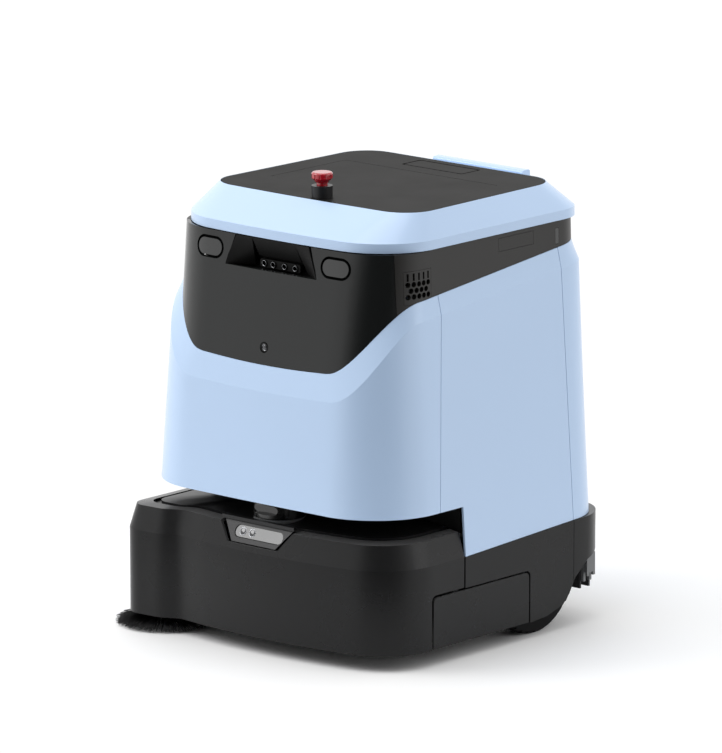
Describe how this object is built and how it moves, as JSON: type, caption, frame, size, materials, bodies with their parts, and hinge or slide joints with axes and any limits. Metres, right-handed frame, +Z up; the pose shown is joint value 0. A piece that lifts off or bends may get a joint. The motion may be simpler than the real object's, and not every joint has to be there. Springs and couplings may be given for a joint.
{
  "type": "robotic floor cleaner",
  "caption": "Compact commercial floor-scrubbing robot with spinning LiDAR bay, hinged lid, emergency stop, drive wheels, casters, roller, side brush and lifting squeegee.",
  "frame": {"origin": "on the floor, under the middle of the outer box", "axes": "+X towards the robot's left side, -Y towards its front, +Z up"},
  "size_m": [0.4742, 0.476, 0.6052],
  "materials": {
    "frame_steel": "satin",
    "bright_steel": "satin",
    "black_plastic": "fine textured",
    "blue_plastic": "satin",
    "gloss_black": "gloss",
    "dark_panel": "satin",
    "camera_grey": "satin",
    "tank_plastic": "satin",
    "cap_blue": "satin",
    "hose_rubber": "matt",
    "motor_metal": "satin",
    "red_plastic": "gloss",
    "bristle": "matt",
    "tyre_rubber": "matt",
    "wheel_grey": "satin"
  },
  "bodies": {
    "chassis": {"chassis_frame": "frame_steel", "chassis_screws": "bright_steel", "bay_liner": "black_plastic", "front_deck": "black_plastic", "front_shell": "blue_plastic", "body_side_panels": "blue_plastic", "rear_shell": "blue_plastic", "front_mask": "gloss_black", "mask_liner": "black_plastic", "sensor_windows": "gloss_black", "cameras": "camera_grey", "upper_band": "black_plastic", "vent_grilles": "black_plastic", "port_cover": "black_plastic", "status_lights": "gloss_black", "side_panels": "black_plastic", "tail_cover": "black_plastic", "charging_contacts": "bright_steel", "sensor_bracket": "black_plastic", "lidar_base": "camera_grey", "battery_pack": "black_plastic", "control_box": "black_plastic", "clean_tank": "tank_plastic", "recovery_tank": "tank_plastic", "tank_caps": "cap_blue", "vacuum_housing": "black_plastic", "suction_riser": "hose_rubber", "roller_hood": "black_plastic", "roller_bearings": "bright_steel", "drive_belt": "hose_rubber", "motors": "motor_metal", "squeegee_guides": "frame_steel", "hinge_bracket": "bright_steel"},
    "lid": {"lid_rim": "blue_plastic", "lid_panel": "dark_panel", "fill_cup": "black_plastic", "stop_body": "black_plastic"},
    "flap": {"flap": "dark_panel"},
    "stop_plunger": {"stop_plunger": "red_plastic"},
    "stop_cap": {"stop_cap": "red_plastic"},
    "bumper": {"bumper": "black_plastic"},
    "side_door_left": {"side_door_left": "black_plastic"},
    "side_door_right": {"side_door_right": "black_plastic"},
    "roller": {"roller_core": "motor_metal", "roller_bristles": "bristle"},
    "motor_pulley": {"motor_pulley": "motor_metal"},
    "side_brush": {"side_brush_hub": "black_plastic", "side_brush_bristles": "bristle"},
    "drive_wheel_left": {"wheel_tyre_left": "tyre_rubber", "wheel_rim_left": "wheel_grey"},
    "drive_wheel_right": {"wheel_tyre_right": "tyre_rubber", "wheel_rim_right": "wheel_grey"},
    "caster_fork_left": {"caster_fork_left": "black_plastic"},
    "caster_fork_right": {"caster_fork_right": "black_plastic"},
    "caster_wheel_left": {"caster_wheel_left": "tyre_rubber"},
    "caster_wheel_right": {"caster_wheel_right": "tyre_rubber"},
    "lidar_head": {"lidar_head": "gloss_black"},
    "fan": {"fan_impeller": "wheel_grey"},
    "squeegee": {"squeegee_bar": "wheel_grey", "squeegee_blades": "hose_rubber"}
  },
  "joints": [
    {"name": "lid_hinge", "type": "hinge", "parent": "chassis", "child": "lid", "pos_m": [0.017, 0.23, 0.531], "axis": [-1, 0, 0], "range_deg": [0, 72]},
    {"name": "flap_hinge", "type": "hinge", "parent": "lid", "child": "flap", "pos_m": [0.017, 0.1715, 0.569], "axis": [-1, 0, 0], "range_deg": [0, 85]},
    {"name": "stop_press", "type": "slide", "parent": "lid", "child": "stop_plunger", "axis": [0, 0, -1], "range_m": [0, 0.004], "stiffness_N_per_m": 600, "springref_m": -0.002},
    {"name": "stop_twist", "type": "hinge", "parent": "stop_plunger", "child": "stop_cap", "pos_m": [0.03, -0.094, 0.6], "axis": [0, 0, 1], "range_deg": [0, 45], "stiffness_Nm_per_rad": 0.02},
    {"name": "bumper_press", "type": "slide", "parent": "chassis", "child": "bumper", "axis": [0, 1, 0], "range_m": [0, 0.002], "stiffness_N_per_m": 2500, "springref_m": -0.003},
    {"name": "door_hinge_left", "type": "hinge", "parent": "chassis", "child": "side_door_left", "pos_m": [0.2315, 0, 0.0265], "axis": [0, 1, 0], "range_deg": [0, 85]},
    {"name": "door_hinge_right", "type": "hinge", "parent": "chassis", "child": "side_door_right", "pos_m": [-0.1975, 0, 0.0265], "axis": [0, -1, 0], "range_deg": [0, 85]},
    {"name": "roller_spin", "type": "hinge", "parent": "chassis", "child": "roller", "pos_m": [0.017, -0.025, 0.047], "axis": [1, 0, 0], "continuous": true},
    {"name": "motor_pulley_spin", "type": "hinge", "parent": "chassis", "child": "motor_pulley", "pos_m": [-0.183, -0.025, 0.133], "axis": [1, 0, 0], "continuous": true},
    {"name": "side_brush_spin", "type": "hinge", "parent": "chassis", "child": "side_brush", "pos_m": [-0.171, -0.172, 0.02], "axis": [0, 0, 1], "continuous": true},
    {"name": "drive_wheel_left_spin", "type": "hinge", "parent": "chassis", "child": "drive_wheel_left", "pos_m": [0.202, 0.101, 0.075], "axis": [1, 0, 0], "continuous": true},
    {"name": "drive_wheel_right_spin", "type": "hinge", "parent": "chassis", "child": "drive_wheel_right", "pos_m": [-0.168, 0.101, 0.075], "axis": [1, 0, 0], "continuous": true},
    {"name": "caster_left_swivel", "type": "hinge", "parent": "chassis", "child": "caster_fork_left", "pos_m": [0.097, -0.13, 0.1], "axis": [0, 0, 1], "continuous": true},
    {"name": "caster_right_swivel", "type": "hinge", "parent": "chassis", "child": "caster_fork_right", "pos_m": [-0.063, -0.13, 0.1], "axis": [0, 0, 1], "continuous": true},
    {"name": "caster_left_roll", "type": "hinge", "parent": "caster_fork_left", "child": "caster_wheel_left", "pos_m": [0.097, -0.115, 0.025], "axis": [1, 0, 0], "continuous": true},
    {"name": "caster_right_roll", "type": "hinge", "parent": "caster_fork_right", "child": "caster_wheel_right", "pos_m": [-0.063, -0.115, 0.025], "axis": [1, 0, 0], "continuous": true},
    {"name": "lidar_spin", "type": "hinge", "parent": "chassis", "child": "lidar_head", "pos_m": [0.017, -0.161, 0.18], "axis": [0, 0, 1], "continuous": true},
    {"name": "fan_spin", "type": "hinge", "parent": "chassis", "child": "fan", "pos_m": [0.129, -0.004, 0.17], "axis": [0, 0, 1], "continuous": true},
    {"name": "squeegee_lift", "type": "slide", "parent": "chassis", "child": "squeegee", "axis": [0, 0, -1], "range_m": [0, 0.039]}
  ],
  "couplings": [
    {"joint": "motor_pulley_spin", "follows": "roller_spin", "ratio": 1.6667}
  ]
}
